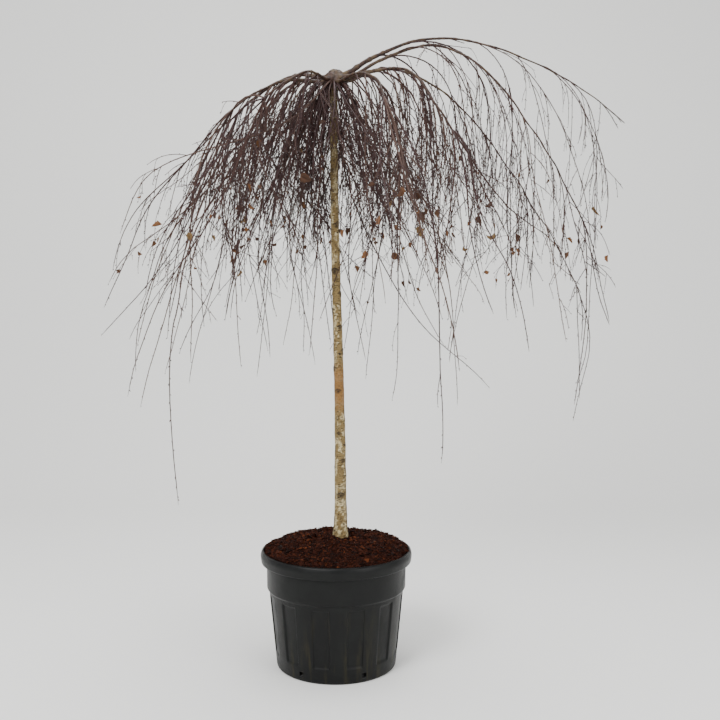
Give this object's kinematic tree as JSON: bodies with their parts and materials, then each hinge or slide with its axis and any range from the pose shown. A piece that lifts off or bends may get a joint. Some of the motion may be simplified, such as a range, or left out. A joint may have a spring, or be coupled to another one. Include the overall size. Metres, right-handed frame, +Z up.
{
  "type": "weeping birch tree in a nursery pot",
  "caption": "Leafless weeping birch grafted on a tall slender stem, its arching boughs and hanging twigs forming a dome, in a tapered round nursery pot of bark soil.",
  "frame": {"origin": "middle of the pot's flat underside, on the floor under the stem", "axes": "+Z up along the stem; -Y towards the crown's parting, where the stem shows; +X towards the crown's longest bough"},
  "size_m": [2.2734, 2.052, 2.677],
  "materials": {
    "pot_plastic": "matt black moulded plastic, scuffed and dusty",
    "soil": "loose moist bark and peat, red brown",
    "stem_bark": "pale birch bark with dark lenticels and knots, peeling in places",
    "bough_bark": "dark brown young bark, greyish near the graft",
    "twigs": "thin satin twigs, dark purple brown with small buds",
    "dead_leaf": "dry curled birch leaf, brown"
  },
  "bodies": {
    "root": {"bough_01_fall": "bough_bark", "bough_01_rise": "bough_bark", "bough_02_fall": "bough_bark", "bough_02_rise": "bough_bark", "bough_03_fall": "bough_bark", "bough_03_rise": "bough_bark", "bough_04_fall": "bough_bark", "bough_04_rise": "bough_bark", "bough_05_fall": "bough_bark", "bough_05_rise": "bough_bark", "bough_06_fall": "bough_bark", "bough_06_rise": "bough_bark", "bough_07_fall": "bough_bark", "bough_07_rise": "bough_bark", "bough_08_fall": "bough_bark", "bough_08_rise": "bough_bark", "bough_09_fall": "bough_bark", "bough_09_rise": "bough_bark", "bough_10_fall": "bough_bark", "bough_10_rise": "bough_bark", "bough_11_fall": "bough_bark", "bough_11_rise": "bough_bark", "bough_12_fall": "bough_bark", "bough_12_rise": "bough_bark", "graft_head": "bough_bark", "pot": "pot_plastic", "soil": "soil", "stem": "stem_bark", "twigs_inner_01": "twigs", "twigs_inner_02": "twigs", "twigs_inner_03": "twigs", "twigs_inner_04": "twigs", "twigs_inner_05": "twigs", "twigs_inner_06": "twigs", "twigs_side_01": "twigs", "twigs_side_02": "twigs", "twigs_side_03": "twigs", "twigs_side_04": "twigs", "twigs_side_05": "twigs", "twigs_side_06": "twigs", "twigs_side_07": "twigs", "twigs_side_08": "twigs", "twigs_side_09": "twigs", "twigs_side_10": "twigs", "twigs_top_01": "twigs", "twigs_top_02": "twigs", "twigs_top_03": "twigs", "twigs_top_04": "twigs", "twigs_top_05": "twigs", "twigs_top_06": "twigs", "twigs_top_07": "twigs", "twigs_top_08": "twigs", "twigs_top_09": "twigs", "twigs_top_10": "twigs"}
  },
  "joints": []
}
